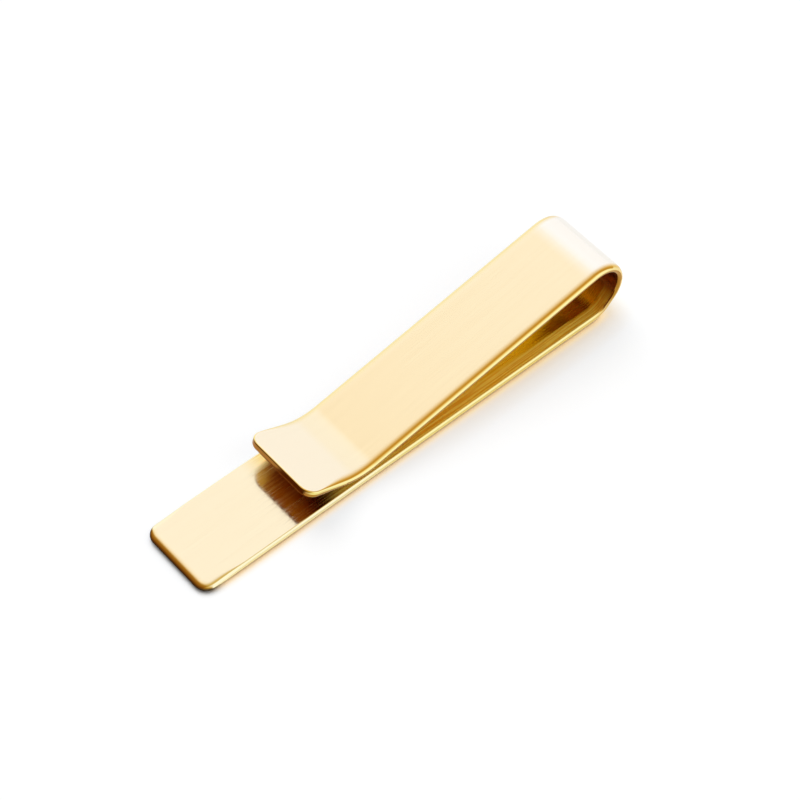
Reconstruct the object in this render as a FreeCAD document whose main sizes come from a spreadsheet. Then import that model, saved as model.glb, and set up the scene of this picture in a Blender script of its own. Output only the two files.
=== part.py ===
import FreeCAD, Part
import math
import os
import Sketcher

# A slide-on tie clip bent from one flat strip.
# The flat front bar lies along X on the ground plane, its free end at -X.
# At +X the strip turns back over itself through a teardrop loop: heel bend, short back wall, crown bend.
# The spring arm then slopes down towards the free end, almost meets the bar at the pinch bend,
# and ends in a turned-up lip.
# All bend radii belong to the middle of the strip's thickness. Lengths in millimetres, angles in degrees.

document = FreeCAD.newDocument("tie_clip")
sheet = document.addObject("Spreadsheet::Sheet", "sizes")

driving_sizes = [
    ("strip_width", 9.5),
    ("strip_thickness", 0.85),
    ("edge_round", 0.38),
    ("corner_radius", 1.45),
    ("bar_flat_length", 51.6),
    ("heel_radius", 2.5),
    ("heel_turn", 45.0),
    ("back_length", 1.1),
    ("crown_radius", 3.2),
    ("arm_slope", 10.5),
    ("nip_gap", 0.5),
    ("pinch_radius", 6.5),
    ("lip_angle", 22.0),
    ("lip_length", 5.5),
]

# Positions follow the middle of the strip. The x values are measured from the start of the heel bend.
derived_sizes = [
    ("crown_turn", "180 + arm_slope - heel_turn"),
    ("pinch_turn", "arm_slope + lip_angle"),
    ("heel_centre_z", "strip_thickness / 2 + heel_radius"),
    ("back_start_x", "heel_radius * sin(heel_turn * 1 deg)"),
    ("back_start_z", "heel_centre_z - heel_radius * cos(heel_turn * 1 deg)"),
    ("crown_start_x", "back_start_x + back_length * cos(heel_turn * 1 deg)"),
    ("crown_start_z", "back_start_z + back_length * sin(heel_turn * 1 deg)"),
    ("crown_centre_x", "crown_start_x - crown_radius * sin(heel_turn * 1 deg)"),
    ("crown_centre_z", "crown_start_z + crown_radius * cos(heel_turn * 1 deg)"),
    ("arm_start_x", "crown_centre_x - crown_radius * sin(arm_slope * 1 deg)"),
    ("arm_start_z", "crown_centre_z + crown_radius * cos(arm_slope * 1 deg)"),
    ("pinch_low_z", "strip_thickness * 1.5 + nip_gap"),
    ("arm_end_z", "pinch_low_z + pinch_radius * (1 - cos(arm_slope * 1 deg))"),
    ("arm_length", "(arm_start_z - arm_end_z) / sin(arm_slope * 1 deg)"),
    ("arm_end_x", "arm_start_x - arm_length * cos(arm_slope * 1 deg)"),
    ("pinch_centre_x", "arm_end_x - pinch_radius * sin(arm_slope * 1 deg)"),
    ("pinch_centre_z", "pinch_low_z + pinch_radius"),
    ("lip_start_x", "pinch_centre_x - pinch_radius * sin(lip_angle * 1 deg)"),
    ("lip_start_z", "pinch_centre_z - pinch_radius * cos(lip_angle * 1 deg)"),
    ("loop_reach", "crown_centre_x + crown_radius + strip_thickness / 2"),
    ("overall_length", "bar_flat_length + loop_reach"),
    ("heel_start_x", "bar_flat_length - overall_length / 2"),
]

row = 1
for alias, value in driving_sizes:
    sheet.set("A%d" % row, alias)
    sheet.set("B%d" % row, str(value))
    sheet.setAlias("B%d" % row, alias)
    row += 1
for alias, formula in derived_sizes:
    sheet.set("A%d" % row, alias)
    sheet.set("B%d" % row, "=" + formula)
    sheet.setAlias("B%d" % row, alias)
    row += 1
document.recompute()


def size(alias):
    """Present value of one size, used only for the first guess of a sketch."""
    return float(sheet.get(alias))


def new_body(name):
    body = document.addObject("PartDesign::Body", name)
    body.Label = name
    return body


def origin_plane(body, role):
    for feature in body.Origin.OriginFeatures:
        if feature.Role == role:
            return feature
    raise RuntimeError("no plane " + role)


def new_sketch(body, name, role):
    sketch = body.newObject("Sketcher::SketchObject", name)
    sketch.AttachmentSupport = [(origin_plane(body, role), "")]
    sketch.MapMode = "FlatFace"
    return sketch


def bind(sketch, constraint, name, expression):
    """Adds a dimension to the sketch and ties it to the sheet."""
    index = sketch.addConstraint(constraint)
    sketch.renameConstraint(index, name)
    sketch.setExpression("Constraints." + name, expression)


def line(sketch, start, end):
    segment = Part.LineSegment(FreeCAD.Vector(start[0], start[1], 0), FreeCAD.Vector(end[0], end[1], 0))
    return sketch.addGeometry(segment, False)


def arc(sketch, centre, radius, start_degrees):
    """Quarter circle, counter-clockwise from the start angle."""
    circle = Part.Circle(FreeCAD.Vector(centre[0], centre[1], 0), FreeCAD.Vector(0, 0, 1), radius)
    start = math.radians(start_degrees)
    end = math.radians(start_degrees + 90)
    return sketch.addGeometry(Part.ArcOfCircle(circle, start, end), False)


def strip_section(body, name, centre_height):
    """Cross-section of the strip with rounded edges, across the strip's direction.

    centre_height places the middle of the section above (+) or below (-) the body's own origin.
    """
    sketch = new_sketch(body, name, "YZ_Plane")
    half_width = size("strip_width") / 2
    half_thick = size("strip_thickness") / 2
    rounding = size("edge_round")
    side = half_width - rounding
    low = centre_height - half_thick
    high = centre_height + half_thick
    bottom = line(sketch, (-side, low), (side, low))
    right = line(sketch, (half_width, low + rounding), (half_width, high - rounding))
    top = line(sketch, (side, high), (-side, high))
    left = line(sketch, (-half_width, high - rounding), (-half_width, low + rounding))
    low_right = arc(sketch, (side, low + rounding), rounding, -90)
    high_right = arc(sketch, (side, high - rounding), rounding, 0)
    high_left = arc(sketch, (-side, high - rounding), rounding, 90)
    low_left = arc(sketch, (-side, low + rounding), rounding, 180)
    outline = [bottom, low_right, right, high_right, top, high_left, left, low_left]
    for first, second in zip(outline, outline[1:] + outline[:1]):
        sketch.addConstraint(Sketcher.Constraint("Tangent", first, 2, second, 1))
    sketch.addConstraint(Sketcher.Constraint("Horizontal", top))
    sketch.addConstraint(Sketcher.Constraint("Vertical", right))
    sketch.addConstraint(Sketcher.Constraint("Vertical", left))
    sketch.addConstraint(Sketcher.Constraint("Equal", low_right, high_right))
    sketch.addConstraint(Sketcher.Constraint("Equal", high_right, high_left))
    sketch.addConstraint(Sketcher.Constraint("Equal", high_left, low_left))
    sketch.addConstraint(Sketcher.Constraint("Symmetric", bottom, 1, bottom, 2, -2))
    bind(sketch, Sketcher.Constraint("Radius", low_right, rounding), "rounding", "sizes.edge_round")
    bind(sketch, Sketcher.Constraint("DistanceX", left, 1, right, 2, 2 * half_width), "width",
         "sizes.strip_width")
    bind(sketch, Sketcher.Constraint("DistanceY", bottom, 1, top, 2, 2 * half_thick), "thickness",
         "sizes.strip_thickness")
    return sketch, bottom


def section_below(body, name, radius_alias):
    """Section one bend radius below the bend's centre."""
    radius = size(radius_alias)
    sketch, bottom = strip_section(body, name, -radius)
    depth = radius + size("strip_thickness") / 2
    bind(sketch, Sketcher.Constraint("DistanceY", bottom, 1, -1, 1, depth), "depth",
         "sizes." + radius_alias + " + sizes.strip_thickness / 2")
    return sketch


def section_above(body, name, radius_alias):
    """Section one bend radius above the bend's centre."""
    radius = size(radius_alias)
    sketch, bottom = strip_section(body, name, radius)
    height = radius - size("strip_thickness") / 2
    bind(sketch, Sketcher.Constraint("DistanceY", -1, 1, bottom, 1, height), "height",
         "sizes." + radius_alias + " - sizes.strip_thickness / 2")
    return sketch


def section_centred(body, name):
    """Section with the body's origin in its middle."""
    sketch, bottom = strip_section(body, name, 0.0)
    depth = size("strip_thickness") / 2
    bind(sketch, Sketcher.Constraint("DistanceY", bottom, 1, -1, 1, depth), "depth",
         "sizes.strip_thickness / 2")
    return sketch


def bend(body, name, sketch, turn_alias, downward):
    """Turns the section about the body's Y axis, so that the strip runs off towards the body's +X."""
    feature = body.newObject("PartDesign::Revolution", name)
    feature.Profile = sketch
    feature.ReferenceAxis = (sketch, ["H_Axis"])
    feature.Reversed = not downward
    feature.setExpression("Angle", "sizes." + turn_alias)
    body.Tip = feature
    return feature


def straight(body, name, sketch, length_alias):
    """Runs the section along the body's +X."""
    feature = body.newObject("PartDesign::Pad", name)
    feature.Profile = sketch
    feature.setExpression("Length", "sizes." + length_alias)
    body.Tip = feature
    return feature


# Lengths below this count as zero when edges are picked.
TOLERANCE = 1e-6


def end_plate(body, name, length_alias):
    """Flat length of strip from x = 0 to a free end with rounded corners, all its free edges rounded."""
    sketch = new_sketch(body, name + "_plan", "XY_Plane")
    half_width = size("strip_width") / 2
    length = size(length_alias)
    corner = size("corner_radius")
    near = line(sketch, (0, -half_width), (length - corner, -half_width))
    near_corner = arc(sketch, (length - corner, -half_width + corner), corner, -90)
    end = line(sketch, (length, -half_width + corner), (length, half_width - corner))
    far_corner = arc(sketch, (length - corner, half_width - corner), corner, 0)
    far = line(sketch, (length - corner, half_width), (0, half_width))
    root = line(sketch, (0, half_width), (0, -half_width))
    rounded = [near, near_corner, end, far_corner, far]
    for first, second in zip(rounded[:-1], rounded[1:]):
        sketch.addConstraint(Sketcher.Constraint("Tangent", first, 2, second, 1))
    sketch.addConstraint(Sketcher.Constraint("Coincident", far, 2, root, 1))
    sketch.addConstraint(Sketcher.Constraint("Coincident", root, 2, near, 1))
    sketch.addConstraint(Sketcher.Constraint("Horizontal", near))
    sketch.addConstraint(Sketcher.Constraint("Horizontal", far))
    sketch.addConstraint(Sketcher.Constraint("Vertical", end))
    sketch.addConstraint(Sketcher.Constraint("Vertical", root))
    sketch.addConstraint(Sketcher.Constraint("Equal", near_corner, far_corner))
    sketch.addConstraint(Sketcher.Constraint("Symmetric", root, 1, root, 2, -1, 1))
    bind(sketch, Sketcher.Constraint("Radius", near_corner, corner), "corner", "sizes.corner_radius")
    bind(sketch, Sketcher.Constraint("DistanceY", root, 2, root, 1, 2 * half_width), "width",
         "sizes.strip_width")
    bind(sketch, Sketcher.Constraint("DistanceX", root, 1, end, 2, length), "length",
         "sizes." + length_alias)

    plate = body.newObject("PartDesign::Pad", name + "_plate")
    plate.Profile = sketch
    plate.Midplane = True
    plate.setExpression("Length", "sizes.strip_thickness")
    body.Tip = plate
    document.recompute()

    free_edges = []
    for number, edge in enumerate(plate.Shape.Edges, start=1):
        box = edge.BoundBox
        lies_flat = box.ZLength < TOLERANCE
        at_root = box.XMax < TOLERANCE
        if lies_flat and not at_root:
            free_edges.append("Edge%d" % number)
    rounding = body.newObject("PartDesign::Fillet", name + "_rounding")
    rounding.Base = (plate, free_edges)
    rounding.setExpression("Radius", "sizes.edge_round")
    body.Tip = rounding
    return rounding


# The rotation keeps its axis only if its first angle isn't zero. The expression then sets the angle.
FIRST_LEAN = 30.0


def place(body, x_expression, z_expression, angle_expression):
    """Moves a body to its spot and leans its +X upward from the world's +X by the given angle."""
    lean_axis = FreeCAD.Vector(0, -1, 0)
    body.Placement = FreeCAD.Placement(FreeCAD.Vector(0, 0, 0), FreeCAD.Rotation(lean_axis, FIRST_LEAN))
    body.setExpression("Placement.Base.x", x_expression)
    body.setExpression("Placement.Base.z", z_expression)
    body.setExpression("Placement.Rotation.Angle", angle_expression)


front_bar = new_body("front_bar")
end_plate(front_bar, "bar", "bar_flat_length")
place(front_bar, "sizes.heel_start_x", "sizes.strip_thickness / 2", "180 deg")

heel_bend = new_body("heel_bend")
heel_section = section_below(heel_bend, "heel_section", "heel_radius")
bend(heel_bend, "heel_turned", heel_section, "heel_turn", False)
heel_bend.setExpression("Placement.Base.x", "sizes.heel_start_x")
heel_bend.setExpression("Placement.Base.z", "sizes.heel_centre_z")

loop_back = new_body("loop_back")
back_section = section_centred(loop_back, "back_section")
straight(loop_back, "back_run", back_section, "back_length")
place(loop_back, "sizes.heel_start_x + sizes.back_start_x", "sizes.back_start_z", "sizes.heel_turn * 1 deg")

crown_bend = new_body("crown_bend")
crown_section = section_below(crown_bend, "crown_section", "crown_radius")
bend(crown_bend, "crown_turned", crown_section, "crown_turn", False)
place(crown_bend, "sizes.heel_start_x + sizes.crown_centre_x", "sizes.crown_centre_z",
      "sizes.heel_turn * 1 deg")

spring_arm = new_body("spring_arm")
arm_section = section_centred(spring_arm, "arm_section")
straight(spring_arm, "arm_run", arm_section, "arm_length")
place(spring_arm, "sizes.heel_start_x + sizes.arm_start_x", "sizes.arm_start_z",
      "(180 + sizes.arm_slope) * 1 deg")

pinch_bend = new_body("pinch_bend")
pinch_section = section_above(pinch_bend, "pinch_section", "pinch_radius")
bend(pinch_bend, "pinch_turned", pinch_section, "pinch_turn", True)
place(pinch_bend, "sizes.heel_start_x + sizes.pinch_centre_x", "sizes.pinch_centre_z",
      "(180 + sizes.arm_slope) * 1 deg")

lip = new_body("lip")
end_plate(lip, "lip", "lip_length")
place(lip, "sizes.heel_start_x + sizes.lip_start_x", "sizes.lip_start_z", "(180 - sizes.lip_angle) * 1 deg")

document.recompute()

for item in document.Objects:
    if "Invalid" in item.State or "Error" in item.State:
        raise RuntimeError("object not in order: " + item.Label)

bodies = [front_bar, heel_bend, loop_back, crown_bend, spring_arm, pinch_bend, lip]
for body in bodies:
    if body.Shape.isNull() or not body.Shape.isValid():
        raise RuntimeError("shape not in order: " + body.Label)

os.makedirs("parts", exist_ok=True)
for body in bodies:
    body.Shape.exportStep("parts/" + body.Label + ".step")
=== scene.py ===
import math

import bpy
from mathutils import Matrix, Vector, geometry


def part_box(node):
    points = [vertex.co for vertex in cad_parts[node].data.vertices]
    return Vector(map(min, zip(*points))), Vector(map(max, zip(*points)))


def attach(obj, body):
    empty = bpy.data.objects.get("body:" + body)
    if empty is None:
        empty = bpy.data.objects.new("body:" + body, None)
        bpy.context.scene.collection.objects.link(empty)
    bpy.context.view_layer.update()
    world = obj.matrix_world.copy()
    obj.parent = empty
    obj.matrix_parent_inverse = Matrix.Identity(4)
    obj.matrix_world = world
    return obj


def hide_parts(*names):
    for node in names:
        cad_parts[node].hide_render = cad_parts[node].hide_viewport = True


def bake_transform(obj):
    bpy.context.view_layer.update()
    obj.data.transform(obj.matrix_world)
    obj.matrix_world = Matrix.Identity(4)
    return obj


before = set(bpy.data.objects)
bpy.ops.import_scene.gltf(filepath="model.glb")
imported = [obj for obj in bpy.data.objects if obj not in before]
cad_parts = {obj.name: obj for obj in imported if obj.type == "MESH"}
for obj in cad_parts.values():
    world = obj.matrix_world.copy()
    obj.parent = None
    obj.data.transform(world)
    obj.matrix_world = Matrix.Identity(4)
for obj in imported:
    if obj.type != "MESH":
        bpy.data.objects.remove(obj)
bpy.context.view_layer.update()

# Sizes of the bent strip. The lengths of its sections come from the frame.
MM = 0.001
HEEL_RADIUS = 2.5 * MM
HEEL_TURN = math.radians(45.0)
CROWN_RADIUS = 3.2 * MM
ARM_SLOPE = math.radians(10.5)
PINCH_RADIUS = 6.5 * MM
LIP_ANGLE = math.radians(22.0)
EDGE_ROUND = 0.38 * MM
CORNER_RADIUS = 1.45 * MM

# Rolled edges, width across the face by depth into the thickness. The outer face's edge changes round the
# loop from the bar's roll to the arm's, and fades to another roll at the lip's end. The inner face's edge
# fades to another roll at the bar's free end.
BAR_ROLL = (0.50 * MM, 0.42 * MM)
ARM_ROLL = (1.10 * MM, 0.43 * MM)
LIP_END_ROLL = (0.20 * MM, 0.16 * MM)
INNER_ROLL = (0.28 * MM, 0.34 * MM)
FREE_END_ROLL = (0.90 * MM, 0.42 * MM)
ROLL_FADE = 4.0 * MM

# Fineness of the mesh. The least step keeps the sides' cross-sections clear of the corners' last ones.
BEND_STEP = math.radians(1.5)
STRAIGHT_STEP = 0.6 * MM
LEAST_STEP = 0.076 * MM
CORNER_STEPS = 16
ROUND_STEPS = 8
FACE_COLUMNS = 10

# Camera, as the photograph's perspective gives it
CAMERA_AZIMUTH = math.radians(-40.752)
CAMERA_ELEVATION = math.radians(53.638)
CAMERA_DISTANCE = 255.96 * MM
CAMERA_TARGET = Vector((1.928, 0.850, 0.0)) * MM
CAMERA_LENS = 113.28
CAMERA_SENSOR = 36.0
CAMERA_NEAREST = 0.01
CAMERA_FARTHEST = 10.0


def extent(node):
    """Size of a node's box."""
    low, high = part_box(node)
    return high - low


bar_low, bar_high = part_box("front_bar")
STRIP_WIDTH = bar_high.y - bar_low.y
STRIP_THICKNESS = bar_high.z - bar_low.z
HALF_WIDTH = STRIP_WIDTH / 2
HALF_THICKNESS = STRIP_THICKNESS / 2

# Places across the brushing map at which the skin's parts lie clear of the inner face, which is at 0
OUTER_FACE_MAP = 2 * STRIP_WIDTH
EDGE_MAP = 5 * STRIP_WIDTH
END_MAP = 8 * STRIP_WIDTH


def leaning_length(node, angle):
    """Length of a straight section of the strip that leans by the angle."""
    return (extent(node).x - STRIP_THICKNESS * math.sin(angle)) / math.cos(angle)


def lip_length():
    """Length of the lip, whose end is rounded."""
    rounded_end = EDGE_ROUND + (STRIP_THICKNESS - EDGE_ROUND) * math.sin(LIP_ANGLE)
    return (extent("lip").x - rounded_end) / math.cos(LIP_ANGLE) + EDGE_ROUND


# Middle line of the strip from the bar's free end to the lip's: section, length, curvature
SECTIONS = [
    ("front_bar", extent("front_bar").x, 0.0),
    ("heel_bend", HEEL_RADIUS * HEEL_TURN, 1 / HEEL_RADIUS),
    ("loop_back", leaning_length("loop_back", HEEL_TURN), 0.0),
    ("crown_bend", CROWN_RADIUS * (math.pi + ARM_SLOPE - HEEL_TURN), 1 / CROWN_RADIUS),
    ("spring_arm", leaning_length("spring_arm", ARM_SLOPE), 0.0),
    ("pinch_bend", PINCH_RADIUS * (ARM_SLOPE + LIP_ANGLE), -1 / PINCH_RADIUS),
    ("lip", lip_length(), 0.0),
]
STRIP_LENGTH = sum(length for name, length, curvature in SECTIONS)


def section_start(name):
    """Distance along the strip at which a section starts."""
    distance = 0.0
    for section, length, curvature in SECTIONS:
        if section == name:
            return distance
        distance += length
    raise ValueError(name)


HEEL_START = section_start("heel_bend")
BACK_START = section_start("loop_back")
CROWN_START = section_start("crown_bend")
ARM_START = section_start("spring_arm")
PINCH_START = section_start("pinch_bend")
LIP_START = section_start("lip")

# Seams between the pieces of the skin: part of the way up the loop's back, and just past the arm's start
LOOP_SEAM = BACK_START + extent("loop_back").x / 4
ARM_SEAM = ARM_START + 2 * STRAIGHT_STEP


def middle_line(distance):
    """Place (x, z) and heading of the strip's middle at a distance from the bar's free end."""
    x, z, heading = bar_low.x, HALF_THICKNESS, 0.0
    left = distance
    for name, length, curvature in SECTIONS:
        last = name == SECTIONS[-1][0]
        step = left if last else min(left, length)
        turned = heading + step * curvature
        if curvature:
            x += (math.sin(turned) - math.sin(heading)) / curvature
            z -= (math.cos(turned) - math.cos(heading)) / curvature
        else:
            x += step * math.cos(heading)
            z += step * math.sin(heading)
        heading = turned
        left -= step
        if left <= 0:
            break
    return x, z, heading


def side_stations():
    """Distances of the cross-sections along the straight sides, between the rounded corners."""
    distances = []
    start = 0.0
    for name, length, curvature in SECTIONS:
        if curvature:
            steps = math.ceil(length * abs(curvature) / BEND_STEP)
        else:
            steps = math.ceil(length / STRAIGHT_STEP)
        distances += [start + length * k / steps for k in range(steps)]
        start += length
    margin = CORNER_RADIUS + LEAST_STEP
    return [d for d in distances if margin < d < STRIP_LENGTH - margin]


def outline():
    """Half of the flat strip's outline from end to end.

    Each row has a distance along the strip, a half width, and the two parts of the way out of the strip.
    """
    points = []
    for k in range(CORNER_STEPS + 1):
        angle = math.pi - math.pi / 2 * k / CORNER_STEPS
        points.append((CORNER_RADIUS * (1 + math.cos(angle)),
                       HALF_WIDTH - CORNER_RADIUS * (1 - math.sin(angle)),
                       math.cos(angle), math.sin(angle)))
    points += [(distance, HALF_WIDTH, 0.0, 1.0) for distance in side_stations()]
    for k in range(CORNER_STEPS + 1):
        angle = math.pi / 2 * (1 - k / CORNER_STEPS)
        points.append((STRIP_LENGTH - CORNER_RADIUS * (1 - math.cos(angle)),
                       HALF_WIDTH - CORNER_RADIUS * (1 - math.sin(angle)),
                       math.cos(angle), math.sin(angle)))
    return points


OUTLINE = outline()


def smooth(value, start, end):
    """0 before the start, 1 after the end, and a smooth ramp between."""
    share = min(max((value - start) / (end - start), 0.0), 1.0)
    return share * share * (3 - 2 * share)


def edge_profile(distance):
    """Rolled edge from the outer face to the inner one, at a distance along the strip.

    Each row has an inset, a height, and the normal's parts out of the strip and towards the inner face.
    """
    from_free_end = smooth(distance, CORNER_RADIUS, CORNER_RADIUS + ROLL_FADE)
    from_lip_end = smooth(STRIP_LENGTH - distance, CORNER_RADIUS, CORNER_RADIUS + ROLL_FADE)
    round_loop = smooth(distance, HEEL_START, ARM_START)
    along_side = [bar + (arm - bar) * round_loop for bar, arm in zip(BAR_ROLL, ARM_ROLL)]
    inner = [end + (side - end) * from_free_end for side, end in zip(INNER_ROLL, FREE_END_ROLL)]
    outer = [end + (side - end) * from_lip_end for side, end in zip(along_side, LIP_END_ROLL)]
    rows = []
    for (width, depth), low, sign in ((outer, -90, -1), (inner, 0, 1)):
        for k in range(ROUND_STEPS + 1):
            angle = math.radians(low + 90 * k / ROUND_STEPS)
            normal = Vector((depth * math.cos(angle), width * math.sin(angle))).normalized()
            height = sign * (HALF_THICKNESS - depth) + depth * math.sin(angle)
            rows.append((width * (1 - math.cos(angle)), height, normal.x, normal.y))
    return rows


class StripMesh:
    """Collects the points and faces of one stretch of the strip.

    For the material, each point also has its polish, 0 on a face and 1 on a side, its cut, 1 on an end,
    and its distance along the strip, kept as inside or outside by the half of the thickness it is in.
    """

    def __init__(self):
        self.points = []
        self.normals = []
        self.polish = []
        self.cut = []
        self.inside = []
        self.outside = []
        self.faces = []
        self.face_uvs = []
        self.caps = {}

    def point(self, distance, across, height, normal):
        """Adds a point of the flat strip, bent to its place, and returns its number."""
        x, z, heading = middle_line(distance)
        ahead = Vector((math.cos(heading), 0.0, math.sin(heading)))
        inward = Vector((-math.sin(heading), 0.0, math.cos(heading)))
        self.points.append(Vector((x, across, z)) + inward * height)
        self.normals.append(ahead * normal[0] + Vector((0.0, normal[1], 0.0)) + inward * normal[2])
        self.polish.append(math.hypot(normal[0], normal[1]))
        self.cut.append(abs(normal[0]))
        self.inside.append(distance if height > 0 else 0.0)
        self.outside.append(distance if height < 0 else 0.0)
        return len(self.points) - 1

    def face(self, corners, uvs, outward=None):
        """Adds a face that looks outwards. A cap is given its direction."""
        if outward is not None:
            self.caps[len(self.faces)] = outward
        wanted = outward or sum((self.normals[corner] for corner in corners), Vector())
        if geometry.normal([self.points[corner] for corner in corners]).dot(wanted) < 0:
            corners = corners[::-1]
            uvs = uvs[::-1]
        self.faces.append(corners)
        self.face_uvs.append(uvs)


def ring(mesh, station):
    """Points and map places of one closed cross-section.

    They run over the outer face, one edge, the inner face and the other edge.
    """
    distance, half_width, out_along, out_across = OUTLINE[station]
    profile = edge_profile(distance)
    numbers = []
    uvs = []

    def face_row(inset, height, direction, map_place):
        along = distance - inset * out_along
        reach = half_width - inset * out_across
        for k in range(FACE_COLUMNS + 1):
            across = direction * reach * (2 * k / FACE_COLUMNS - 1)
            numbers.append(mesh.point(along, across, height, (0, 0, math.copysign(1, height))))
            uvs.append((along, across + map_place))

    def edge_column(rows, side):
        for inset, height, out, inward in rows:
            normal = (out * out_along, side * out * out_across, inward)
            across = side * (half_width - inset * out_across)
            numbers.append(mesh.point(distance - inset * out_along, across, height, normal))
            uvs.append((distance, side * (half_width + height) + EDGE_MAP))

    face_row(profile[0][0], -HALF_THICKNESS, 1, OUTER_FACE_MAP)
    edge_column(profile[1:-1], 1)
    face_row(profile[-1][0], HALF_THICKNESS, -1, 0.0)
    edge_column(profile[-2:0:-1], -1)
    return numbers, uvs


def end_face(mesh, station, numbers):
    """Fills an end of the strip between the two sides of its last cross-section."""
    distance, half_width, out_along, _ = OUTLINE[station]
    profile = edge_profile(distance)
    wide = FACE_COLUMNS + 1
    edge_count = len(profile) - 2
    outer = numbers[:wide]
    right = numbers[wide:wide + edge_count]
    inner = numbers[wide + edge_count:2 * wide + edge_count][::-1]
    left = numbers[2 * wide + edge_count:][::-1]
    grid = [outer]
    for row, (inset, height, out, inward) in enumerate(profile[1:-1]):
        along = distance - inset * out_along
        normal = (out * out_along, 0.0, inward)
        middle = [mesh.point(along, half_width * (2 * k / FACE_COLUMNS - 1), height, normal)
                  for k in range(1, FACE_COLUMNS)]
        grid.append([left[row]] + middle + [right[row]])
    grid.append(inner)
    for row in range(len(grid) - 1):
        for k in range(FACE_COLUMNS):
            places = ((row, k), (row, k + 1), (row + 1, k + 1), (row + 1, k))
            corners = tuple(grid[r][c] for r, c in places)
            uvs = tuple((c * STRIP_WIDTH / FACE_COLUMNS, END_MAP + r * EDGE_ROUND / ROUND_STEPS)
                        for r, c in places)
            mesh.face(corners, uvs)


def strip_piece(name, first, last, material):
    """One closed stretch of the strip, between two stations of the outline."""
    mesh = StripMesh()
    rings = [ring(mesh, station) for station in range(first, last + 1)]
    count = len(rings[0][0])
    for (near, near_uv), (far, far_uv) in zip(rings[:-1], rings[1:]):
        for k in range(count):
            after = (k + 1) % count
            corners = (near[k], near[after], far[after], far[k])
            mesh.face(corners, (near_uv[k], near_uv[after], far_uv[after], far_uv[k]))
    for station, numbers, uvs in ((first, *rings[0]), (last, *rings[-1])):
        if station in (0, len(OUTLINE) - 1):
            end_face(mesh, station, numbers)
        else:
            heading = middle_line(OUTLINE[station][0])[2]
            ahead = Vector((math.cos(heading), 0.0, math.sin(heading)))
            mesh.face(tuple(numbers), uvs, outward=-ahead if station == first else ahead)
    return mesh_object(name, mesh, material)


def mesh_object(name, mesh, material):
    """Object of one stretch of the strip, with its exact normals, its brushing map and its measures."""
    data = bpy.data.meshes.new(name)
    data.from_pydata(mesh.points, [], mesh.faces)
    data.polygons.foreach_set("use_smooth", [True] * len(data.polygons))
    layer = data.uv_layers.new(name="brushing")
    loop_normals = []
    for polygon in data.polygons:
        cap = mesh.caps.get(polygon.index)
        for loop, uv in zip(polygon.loop_indices, mesh.face_uvs[polygon.index]):
            layer.data[loop].uv = uv
            loop_normals.append(cap or mesh.normals[data.loops[loop].vertex_index])
            if cap:
                data.edges[data.loops[loop].edge_index].use_edge_sharp = True
    data.normals_split_custom_set(loop_normals)
    for measure in ("polish", "cut", "inside", "outside"):
        attribute = data.attributes.new(measure, "FLOAT", "POINT")
        attribute.data.foreach_set("value", getattr(mesh, measure))
    data.materials.append(material)
    piece = bpy.data.objects.new(name, data)
    bpy.context.scene.collection.objects.link(piece)
    return piece


# Sockets of a mix node that take and give colours
MIX_COLOURS_IN = (6, 7)
MIX_COLOUR_OUT = 2


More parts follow.
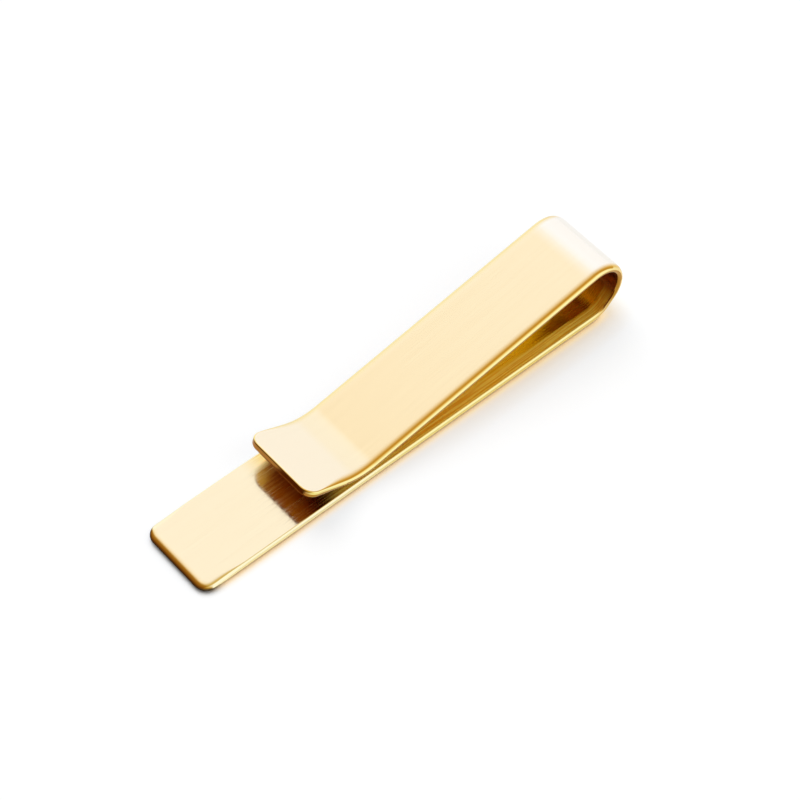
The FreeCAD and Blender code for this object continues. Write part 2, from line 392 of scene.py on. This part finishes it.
class Nodes:
    """Short ways to add and join the nodes of a material or a world."""

    def __init__(self, tree):
        self.tree = tree

    def add(self, kind, **settings):
        node = self.tree.nodes.new(kind)
        for key, value in settings.items():
            setattr(node, key, value)
        return node

    def link(self, source, target):
        self.tree.links.new(source, target)

    def attribute(self, name):
        return self.add("ShaderNodeAttribute", attribute_name=name).outputs["Fac"]

    def parts(self, vector):
        """The X, Y and Z outputs of a vector."""
        node = self.add("ShaderNodeSeparateXYZ")
        self.link(vector, node.inputs["Vector"])
        return node.outputs

    def math(self, operation, first, second):
        node = self.add("ShaderNodeMath", operation=operation)
        for socket, value in zip(node.inputs, (first, second)):
            if isinstance(value, (int, float)):
                socket.default_value = value
            else:
                self.link(value, socket)
        return node.outputs["Value"]

    def plus(self, first, second):
        return self.math("ADD", first, second)

    def minus(self, first, second):
        return self.math("SUBTRACT", first, second)

    def times(self, first, second):
        return self.math("MULTIPLY", first, second)

    def larger(self, first, second):
        return self.math("MAXIMUM", first, second)

    def remap(self, value, low, high, to_low, to_high):
        """Smooth ramp from one result to another, as the value goes from low to high."""
        node = self.add("ShaderNodeMapRange", interpolation_type="SMOOTHSTEP")
        self.link(value, node.inputs["Value"])
        node.inputs["From Min"].default_value = low
        node.inputs["From Max"].default_value = high
        node.inputs["To Min"].default_value = to_low
        node.inputs["To Max"].default_value = to_high
        return node.outputs["Result"]

    def rise(self, value, start, full):
        return self.remap(value, start, full, 0.0, 1.0)

    def fall(self, value, fading, end):
        return self.remap(value, fading, end, 1.0, 0.0)

    def stretch(self, value, start, full, fading, end):
        """1 in the middle of a stretch, with a fade at both of its ends."""
        return self.times(self.rise(value, start, full), self.fall(value, fading, end))

    def mix_colour(self, factor, first, second):
        """Mixes two colours, each a colour's numbers or a node's output."""
        node = self.add("ShaderNodeMix", data_type="RGBA")
        self.link(factor, node.inputs["Factor"])
        for number, colour in zip(MIX_COLOURS_IN, (first, second)):
            socket = node.inputs[number]
            if isinstance(colour, tuple):
                socket.default_value = (*colour, 1.0)
            else:
                self.link(colour, socket)
        return node.outputs[MIX_COLOUR_OUT]

    def angle_ramp(self, turn, colours):
        """Colours by angle. The turn runs from 0 at -90 degrees to 1 at 90 degrees."""
        node = self.add("ShaderNodeValToRGB")
        node.color_ramp.interpolation = "EASE"
        stops = node.color_ramp.elements
        stops.remove(stops[1])
        for number, (degrees, colour) in enumerate(colours):
            position = (degrees + 90) / 180
            stop = stops.new(position) if number else stops[0]
            stop.position = position
            stop.color = (*colour, 1.0)
        self.link(turn, node.inputs["Fac"])
        return node.outputs["Color"]

    def streaks(self, uv, length, width, detail, turn=0.0):
        """Noise drawn out along the strip."""
        mapping = self.add("ShaderNodeMapping")
        mapping.inputs["Rotation"].default_value = (0.0, 0.0, turn)
        mapping.inputs["Scale"].default_value = (1 / length, 1 / width, 1.0)
        self.link(uv, mapping.inputs["Vector"])
        noise = self.add("ShaderNodeTexNoise", noise_dimensions="2D")
        noise.inputs["Scale"].default_value = 1.0
        noise.inputs["Detail"].default_value = detail
        self.link(mapping.outputs["Vector"], noise.inputs["Vector"])
        return noise.outputs["Fac"]


def new_material(name):
    """A new material, the short ways to its nodes, and its main shader."""
    material = bpy.data.materials.new(name)
    material.use_nodes = True
    return material, Nodes(material.node_tree), material.node_tree.nodes["Principled BSDF"]


# Gold of the faces, with its streaks, and the paler painted highlight over the crown and on the lip
GOLD = (0.985, 0.865, 0.63)
GOLD_STREAK = (0.98, 0.858, 0.62)
GOLD_PAINTED_HIGHLIGHT = (1.0, 0.97, 0.91)

# Painted shade: deeper gold of the faces inside the fold, from its mouth to the back of the loop, and dark
# gold under the lip
GOLD_FOLD_SHADE = (1.0, 0.80, 0.17)
GOLD_FOLD_SHADE_LINE = (0.90, 0.53, 0.04)
GOLD_BAND = (1.0, 0.70, 0.03)
GOLD_DEEP = (0.28, 0.075, 0.01)
GOLD_UNDER_LIP = (0.20, 0.065, 0.012)

# Gold of the polished edges, whose deeper tones are painted shade: by the bar's free end, along the fold
# and round the loop, where the edge rolls into a face, where it looks into the fold, and at the ends of the
# strip
GOLD_EDGE = (1.0, 0.93, 0.64)
GOLD_SIDE = (0.99, 0.86, 0.42)
GOLD_EDGE_FOLD = (1.0, 0.91, 0.44)
GOLD_SIDE_FOLD = (0.99, 0.84, 0.27)
GOLD_LOOP_SIDE = (0.95, 0.70, 0.28)
GOLD_ROLLED = (0.86, 0.56, 0.12)
GOLD_UNDER_EDGE = (0.50, 0.25, 0.03)
GOLD_END_SHADE = (0.42, 0.18, 0.032)

# How much of the near side's painted shade, its deeper edge colours, the far side has
FAR_SIDE = 0.35

# Distances along the strip between which the roughness, the painted shade and the painted highlight change
SCUFFED = (8.0 * MM, 13.0 * MM)
FOLD_SHADE = (11.5 * MM, 16.0 * MM)
ROLLED = (1.5 * MM, 5.0 * MM)
ON_FOLD = (16.0 * MM, 30.0 * MM)
UNDER_EDGE = (HEEL_START + 1.0 * MM, CROWN_START + 0.5 * MM)
LIP_HIGHLIGHT_RISE = (LIP_START - 1.5 * MM, LIP_START)
UNDER_LIP = (LIP_START - 1.5 * MM, LIP_START + 0.8 * MM)
UNDER_LIP_FADE = (LIP_START + 2.8 * MM, STRIP_LENGTH)

# How much of the painted highlight the lip gets, and how much of the painted shade under it is left at its
# tip
LIP_HIGHLIGHT_SHARE = 0.3
UNDER_LIP_TIP = 0.5

# Stretches of the strip over which the roughness, the painted highlight and the painted shade change and go
# back: start, full, fading, end
WORN = (14.5 * MM, 18.5 * MM, PINCH_START - 8.0 * MM, PINCH_START)
CROWN_HIGHLIGHT = (CROWN_START, CROWN_START + 2.5 * MM, ARM_START - 0.9 * MM, ARM_START + 1.2 * MM)
ON_LOOP = (HEEL_START - 1.0 * MM, BACK_START, CROWN_START + 3.0 * MM, ARM_START)

# The fold's painted shade, in deep colours, lies away from the open sides, gathers towards the back of the
# loop, and reaches the sides only from there on
DEEP = (30.0 * MM, 46.0 * MM, ARM_START, ARM_START + 12.0 * MM)
DEEPER = (49.0 * MM, 56.0 * MM, ARM_START - 3.0 * MM, ARM_START + 3.0 * MM)
DEEP_ACROSS = (HALF_WIDTH - 1.55 * MM, HALF_WIDTH - 1.15 * MM)
DEEP_TO_SIDES = (BACK_START, CROWN_START + 1.0 * MM)

# Polish at which a face turns into its edge, the roll ends and the side starts, and cut at which a side
# turns into an end
FACE_POLISH = (0.06, 0.42)
ROLLED_POLISH = (0.42, 0.66)
SIDE_POLISH = (0.88, 1.0)
SIDE_CUT = (0.15, 0.45)
END_CUT = (0.5, 0.95)

# Streaks of the brushing: length, width, detail
FINE_STREAKS = (6.0 * MM, 0.07 * MM, 2.0)
LINE_STREAKS = (9.0 * MM, 0.18 * MM, 3.0)
BROAD_STREAKS = (22.0 * MM, 0.45 * MM, 2.0)
SCRATCH_STREAKS = (3.5 * MM, 0.10 * MM, 0.0)
SCRATCH_TURN = math.radians(6.0)

# Values of their noise between which they change the colour or the roughness
FINE_NOISE = (0.35, 0.65)
LINE_NOISE = (0.42, 0.56)
SCUFF_NOISE = (0.40, 0.62)
BROAD_NOISE = (0.3, 0.6)
SCRATCH_NOISE = (0.72, 0.80)

# Roughness of the edges and the faces, and what wear adds to it or takes away
EDGE_ROUGHNESS = 0.10
SATIN_ROUGHNESS = (0.19, 0.24)
SCUFF_LINE_ROUGHNESS = (-0.05, 0.05)
SCUFF_SMOOTHER = 0.05
SCRATCH_ROUGHER = 0.09
WORN_ROUGHER = 0.52
DEEPER_ROUGHER = 0.18

# Brushing that runs along the strip, a quarter turn from the map's own direction
BRUSHED_ANISOTROPY = 0.6
BRUSHED_TURN = 0.25
BRUSHED_BUMP = 0.02
BRUSHED_DEPTH = 0.003 * MM


class Skin:
    """What the gold goes by: the place on the strip, whether it is face or edge, and the streaks."""

    def __init__(self, nodes):
        self.uv = nodes.add("ShaderNodeUVMap", uv_map="brushing").outputs["UV"]
        self.across = nodes.parts(self.uv)["Y"]
        self.polish = nodes.attribute("polish")
        self.cut = nodes.attribute("cut")
        self.inside = nodes.attribute("inside")
        self.outside = nodes.attribute("outside")
        self.along = nodes.plus(self.inside, self.outside)
        self.on_face = nodes.fall(self.polish, *FACE_POLISH)
        from_middle = nodes.math("ABSOLUTE", self.across, 0.0)
        away_from_sides = nodes.fall(from_middle, *DEEP_ACROSS)
        to_sides = nodes.rise(self.inside, *DEEP_TO_SIDES)
        # Where the painted shade of the fold's deep colours lies
        self.deep = nodes.times(nodes.stretch(self.inside, *DEEP), nodes.larger(away_from_sides, to_sides))
        self.deeper = nodes.stretch(self.inside, *DEEPER)
        self.fine = nodes.streaks(self.uv, *FINE_STREAKS)
        self.lines = nodes.streaks(self.uv, *LINE_STREAKS)
        self.broad = nodes.streaks(self.uv, *BROAD_STREAKS)
        self.scratches = nodes.streaks(self.uv, *SCRATCH_STREAKS, turn=SCRATCH_TURN)


def face_colour(nodes, skin):
    """Pale gold, with painted shade deeper in the fold and under the lip, and a paler painted highlight
    over the crown and on the lip.
    """
    # Painted shade: deeper gold inside the fold, with the brushing's lines in it
    fold_shade = nodes.rise(skin.inside, *FOLD_SHADE)
    lined_gold = nodes.mix_colour(nodes.rise(skin.lines, *LINE_NOISE), GOLD_FOLD_SHADE_LINE, GOLD_FOLD_SHADE)
    deep_gold = nodes.mix_colour(skin.deeper, GOLD_BAND, GOLD_DEEP)
    # Painted shade: dark gold under the lip, lighter towards its tip
    under_lip = nodes.rise(skin.inside, *UNDER_LIP)
    under_lip = nodes.times(under_lip, nodes.remap(skin.inside, *UNDER_LIP_FADE, 1.0, UNDER_LIP_TIP))
    # Painted highlight: paler gold over the crown and on the lip
    lip_highlight = nodes.remap(skin.outside, *LIP_HIGHLIGHT_RISE, 0.0, LIP_HIGHLIGHT_SHARE)
    painted_highlight = nodes.larger(nodes.stretch(skin.outside, *CROWN_HIGHLIGHT), lip_highlight)
    colour = nodes.mix_colour(nodes.rise(skin.broad, *BROAD_NOISE), GOLD_STREAK, GOLD)
    layers = ((fold_shade, lined_gold), (skin.deep, deep_gold), (under_lip, GOLD_UNDER_LIP),
              (painted_highlight, GOLD_PAINTED_HIGHLIGHT))
    for place, gold in layers:
        colour = nodes.mix_colour(nodes.times(place, skin.on_face), colour, gold)
    return colour


def edge_colour(nodes, skin):
    """Polished gold with painted shade, deeper on the sides than on the rolls, and dark where it looks into
    the fold.
    """
    near_side = nodes.remap(skin.across, EDGE_MAP - HALF_WIDTH, EDGE_MAP + HALF_WIDTH, 1.0, FAR_SIDE)
    on_fold = nodes.times(nodes.rise(skin.along, *ON_FOLD), near_side)
    on_loop = nodes.stretch(skin.along, *ON_LOOP)
    # Painted shade: deeper edge golds along the fold on the near side and round the loop
    roll_gold = nodes.mix_colour(on_fold, GOLD_EDGE, GOLD_EDGE_FOLD)
    roll_gold = nodes.mix_colour(on_loop, roll_gold, GOLD_LOOP_SIDE)
    side_gold = nodes.mix_colour(on_fold, GOLD_SIDE, GOLD_SIDE_FOLD)
    side_gold = nodes.mix_colour(on_loop, side_gold, GOLD_LOOP_SIDE)
    on_side = nodes.larger(nodes.rise(skin.polish, *SIDE_POLISH), nodes.rise(skin.cut, *SIDE_CUT))
    colour = nodes.mix_colour(on_side, roll_gold, side_gold)
    # Painted shade: dark gold on the inner half of the edge from the back of the loop on
    colour = nodes.mix_colour(nodes.rise(skin.inside, *UNDER_EDGE), colour, GOLD_UNDER_EDGE)
    # Painted shade: deeper gold on the outer face's roll, on the near side
    rolled = nodes.times(nodes.rise(skin.outside, *ROLLED), nodes.fall(skin.polish, *ROLLED_POLISH))
    colour = nodes.mix_colour(nodes.times(rolled, near_side), colour, GOLD_ROLLED)
    # Painted shade: dark bronze on the strip's ends
    return nodes.mix_colour(nodes.rise(skin.cut, *END_CUT), colour, GOLD_END_SHADE)


def gold_roughness(nodes, skin):
    """Satin faces, scuffed and worn inside the fold, and polished edges."""
    scuffed = nodes.rise(skin.inside, *SCUFFED)
    scratches = nodes.times(nodes.rise(skin.scratches, *SCRATCH_NOISE), SCRATCH_ROUGHER)
    scuffs = nodes.plus(scratches, nodes.remap(skin.lines, *SCUFF_NOISE, *SCUFF_LINE_ROUGHNESS))
    scuffs = nodes.minus(scuffs, SCUFF_SMOOTHER)
    worn = nodes.larger(nodes.minus(nodes.stretch(skin.inside, *WORN), skin.deep), 0.0)
    satin = nodes.remap(skin.fine, *FINE_NOISE, *SATIN_ROUGHNESS)
    for place, change in ((scuffed, scuffs), (worn, WORN_ROUGHER), (skin.deeper, DEEPER_ROUGHER)):
        satin = nodes.plus(satin, nodes.times(place, change))
    above_polished = nodes.minus(satin, EDGE_ROUGHNESS)
    return nodes.plus(nodes.times(above_polished, skin.on_face), EDGE_ROUGHNESS)


def gold_material():
    """Gold plate brushed along the strip, with polished edges.

    It is scuffed where cloth slides in, with painted shade deepening its colour inside the fold and a pale
    painted highlight over the crown.
    """
    material, nodes, shader = new_material("brushed_gold")
    shader.inputs["Metallic"].default_value = 1.0
    shader.inputs["Anisotropic"].default_value = BRUSHED_ANISOTROPY
    shader.inputs["Anisotropic Rotation"].default_value = BRUSHED_TURN
    tangent = nodes.add("ShaderNodeTangent", direction_type="UV_MAP", uv_map="brushing")
    nodes.link(tangent.outputs["Tangent"], shader.inputs["Tangent"])
    skin = Skin(nodes)
    colour = nodes.mix_colour(skin.on_face, edge_colour(nodes, skin), face_colour(nodes, skin))
    nodes.link(colour, shader.inputs["Base Color"])
    nodes.link(gold_roughness(nodes, skin), shader.inputs["Roughness"])
    bump = nodes.add("ShaderNodeBump")
    bump.inputs["Strength"].default_value = BRUSHED_BUMP
    bump.inputs["Distance"].default_value = BRUSHED_DEPTH
    nodes.link(nodes.times(nodes.plus(skin.fine, skin.broad), skin.on_face), bump.inputs["Height"])
    nodes.link(bump.outputs["Normal"], shader.inputs["Normal"])
    return material


FLOOR_SIZE = 6.0
FLOOR_COLOUR = (0.5, 0.5, 0.5)
FLOOR_ROUGHNESS = 0.9

# Light that fills the floor's colour up to white for the camera, and the share of it that the metal mirrors
FLOOR_FILL = (0.600, 0.658, 0.722)
FLOOR_MIRRORED = 0.85

# What the fill turns to near the object: dark underneath and at the free end, and golden along the sides,
# where the polished edge throws light on the floor, fading further out beside the loop. The gleam is that
# golden light as the metal mirrors it.
FLOOR_DARK = (0.04, 0.03, 0.02)
FLOOR_SIDE_DARK = (0.05, 0.015, 0.0)
FLOOR_GLOW = (0.82, 0.60, 0.32)
FLOOR_WIDE_GLOW = (0.52, 0.43, 0.31)
FLOOR_GLEAM = (0.95, 0.87, 0.70)

# Painted golden glow: what the floor's colour turns to along the sides
FLOOR_WARM = (0.18, 0.08, 0.0)

# Distances along the bar at which the sides' floor takes over from the free end's, and the wide glow starts
BESIDE_BAR = (bar_low.x + 0.5 * MM, bar_low.x + 3.0 * MM)
BESIDE_LOOP = (-8.0 * MM, 18.0 * MM)

# How open the floor is towards the main light, close to the object and further out
LIGHT_DIRECTION = Vector((0.45, 0.52, 0.72)).normalized()
SHELTER_REACH = 1.0 * MM
WIDE_SHELTER_REACH = 3.0 * MM
SHELTER_SAMPLES = 6

# What is added to that openness at the free end, and in the metal's mirror image at the free end and beside
# the bar
END_OPENER = 0.15
MIRROR_END_OPENER = -0.7
MIRROR_SIDE_OPENER = 0.2

# Openness between which the fill goes from dark to golden, from golden to white, and from the wide glow to
# white, and the floor's colour from its painted shadow and from its painted glow to its own
CONTACT_OPENNESS = (0.25, 0.38)
FILL_OPENNESS = (0.4, 0.85)
WIDE_GLOW_OPENNESS = (0.55, 1.0)
DARK_OPENNESS = (0.35, 0.8)
WARM_OPENNESS = (0.25, 0.6)


def open_to_light(nodes, reach):
    """Share of the light's side that nothing within reach hides from the floor."""
    towards_light = nodes.add("ShaderNodeCombineXYZ")
    for socket, value in zip(towards_light.inputs, LIGHT_DIRECTION):
        socket.default_value = value
    node = nodes.add("ShaderNodeAmbientOcclusion", samples=SHELTER_SAMPLES)
    node.inputs["Distance"].default_value = reach
    nodes.link(towards_light.outputs["Vector"], node.inputs["Normal"])
    return node.outputs["AO"]


def floor_material():
    """White sweep: it takes the object's shadow, and shows white to the eye and in reflections."""
    material, nodes, shader = new_material("white_sweep")
    shader.inputs["Roughness"].default_value = FLOOR_ROUGHNESS
    shader.inputs["Specular IOR Level"].default_value = 0.0

    path = nodes.add("ShaderNodeLightPath").outputs
    in_mirror = path["Is Glossy Ray"]
    seen = nodes.larger(path["Is Camera Ray"], nodes.times(in_mirror, FLOOR_MIRRORED))
    seen = nodes.larger(seen, path["Is Transmission Ray"])
    nodes.link(seen, shader.inputs["Emission Strength"])

    along_bar = nodes.parts(nodes.add("ShaderNodeNewGeometry").outputs["Position"])["X"]
    beside = nodes.rise(along_bar, *BESIDE_BAR)
    opener = nodes.remap(along_bar, *BESIDE_BAR, END_OPENER, 0.0)
    mirror_opener = nodes.remap(along_bar, *BESIDE_BAR, MIRROR_END_OPENER, MIRROR_SIDE_OPENER)
    openness = nodes.plus(open_to_light(nodes, SHELTER_REACH), opener)
    openness = nodes.plus(openness, nodes.times(mirror_opener, in_mirror))

    golden = nodes.mix_colour(in_mirror, FLOOR_GLOW, FLOOR_GLEAM)
    close = nodes.mix_colour(beside, FLOOR_DARK, golden)
    contact = nodes.mix_colour(beside, FLOOR_DARK, FLOOR_SIDE_DARK)
    close = nodes.mix_colour(nodes.rise(openness, *CONTACT_OPENNESS), contact, close)
    glowing = nodes.fall(open_to_light(nodes, WIDE_SHELTER_REACH), *WIDE_GLOW_OPENNESS)
    glowing = nodes.times(glowing, nodes.rise(along_bar, *BESIDE_LOOP))
    fill = nodes.mix_colour(glowing, FLOOR_FILL, FLOOR_WIDE_GLOW)
    fill = nodes.mix_colour(nodes.rise(openness, *FILL_OPENNESS), close, fill)
    nodes.link(fill, shader.inputs["Emission Color"])

    # The floor's own colour takes a painted shadow at the free end and a painted golden glow along the
    # sides
    end_colour = nodes.mix_colour(nodes.rise(openness, *DARK_OPENNESS), FLOOR_DARK, FLOOR_COLOUR)
    side_colour = nodes.mix_colour(nodes.rise(openness, *WARM_OPENNESS), FLOOR_WARM, FLOOR_COLOUR)
    nodes.link(nodes.mix_colour(beside, end_colour, side_colour), shader.inputs["Base Color"])
    return material


def make_floor():
    half = FLOOR_SIZE / 2
    data = bpy.data.meshes.new("floor")
    corners = [(-half, -half, 0.0), (half, -half, 0.0), (half, half, 0.0), (-half, half, 0.0)]
    data.from_pydata(corners, [], [(0, 1, 2, 3)])
    data.materials.append(floor_material())
    floor = bpy.data.objects.new("floor", data)
    bpy.context.scene.collection.objects.link(floor)


# Studio light: a long soft box behind the object, a lower one in front, and a dim warm room elsewhere.
# Colours go by the angle about the strip's width, in degrees from overhead.
LOW_COLOURS = ((-62, (0.14, 0.05, 0.006)), (-45, (0.21, 0.08, 0.011)), (-22, (0.33, 0.15, 0.02)))
ROOM_COLOURS = LOW_COLOURS + ((2, (0.60, 0.40, 0.11)),)
BOX_COLOURS = LOW_COLOURS + (
    (-15, (0.42, 0.22, 0.05)), (-10, (0.58, 0.37, 0.15)), (-4, (0.90, 0.72, 0.47)), (2, (1.0, 0.94, 0.82)),
    (16, (1.0, 0.99, 0.98)), (30, (0.98, 0.98, 0.98)), (66, (0.97, 0.955, 0.95)))
FRONT_COLOURS = ((-60, (0.20, 0.09, 0.01)), (-20, (0.60, 0.40, 0.12)), (20, (1.0, 0.99, 0.95)))
LIGHT_LEVEL = 1.04

# Where the box behind starts and the front one ends, by the direction's part along the strip's width
BOX_EDGE = (-0.22, 0.28)
FRONT_EDGE = (-0.48, -0.32)

# A soft sun for the floor's shadow. The metal doesn't mirror it
SUN_DIRECTION = Vector((0.10, 0.60, 0.79))
SUN_LEVEL = 0.80
SUN_ANGLE = math.radians(40.0)


def make_world():
    world = bpy.data.worlds.new("studio")
    bpy.context.scene.world = world
    world.use_nodes = True
    nodes = Nodes(world.node_tree)
    background = world.node_tree.nodes["Background"]
    background.inputs["Strength"].default_value = LIGHT_LEVEL
    direction = nodes.parts(nodes.add("ShaderNodeTexCoord").outputs["Generated"])
    angle = nodes.math("ARCTAN2", direction["X"], direction["Z"])
    turn = nodes.plus(nodes.math("DIVIDE", angle, math.pi), 0.5)
    room = nodes.angle_ramp(turn, ROOM_COLOURS)
    box = nodes.angle_ramp(turn, BOX_COLOURS)
    front = nodes.angle_ramp(turn, FRONT_COLOURS)
    colour = nodes.mix_colour(nodes.rise(direction["Y"], *BOX_EDGE), room, box)
    colour = nodes.mix_colour(nodes.fall(direction["Y"], *FRONT_EDGE), colour, front)
    nodes.link(colour, background.inputs["Color"])


def make_sun():
    data = bpy.data.lights.new("sun", "SUN")
    data.energy = SUN_LEVEL
    data.angle = SUN_ANGLE
    sun = bpy.data.objects.new("sun", data)
    sun.rotation_euler = SUN_DIRECTION.to_track_quat("Z", "Y").to_euler()
    sun.visible_glossy = False
    bpy.context.scene.collection.objects.link(sun)


def make_camera():
    data = bpy.data.cameras.new("camera")
    data.sensor_width = CAMERA_SENSOR
    data.lens = CAMERA_LENS
    data.clip_start = CAMERA_NEAREST
    data.clip_end = CAMERA_FARTHEST
    camera = bpy.data.objects.new("camera", data)
    bpy.context.scene.collection.objects.link(camera)
    back = Vector((math.sin(CAMERA_AZIMUTH) * math.cos(CAMERA_ELEVATION),
                   -math.cos(CAMERA_AZIMUTH) * math.cos(CAMERA_ELEVATION),
                   math.sin(CAMERA_ELEVATION)))
    camera.location = CAMERA_TARGET + back * CAMERA_DISTANCE
    camera.rotation_euler = (-back).to_track_quat("-Z", "Y").to_euler()
    bpy.context.scene.camera = camera


def nearest_station(distance):
    return min(range(len(OUTLINE)), key=lambda station: abs(OUTLINE[station][0] - distance))


def make_strip():
    gold = gold_material()
    loop_starts = nearest_station(LOOP_SEAM)
    arm_starts = nearest_station(ARM_SEAM)
    bar = strip_piece("bar_strip", 0, loop_starts, gold)
    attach(bar, "bar")
    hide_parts("front_bar", "heel_bend")
    loop = strip_piece("loop_strip", loop_starts, arm_starts, gold)
    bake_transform(loop)
    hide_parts("loop_back", "crown_bend")
    arm = strip_piece("arm_strip", arm_starts, len(OUTLINE) - 1, gold)
    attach(arm, "arm")
    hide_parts("spring_arm", "pinch_bend", "lip")


bpy.context.scene.view_settings.view_transform = "Standard"
make_strip()
make_floor()
make_world()
make_sun()
make_camera()
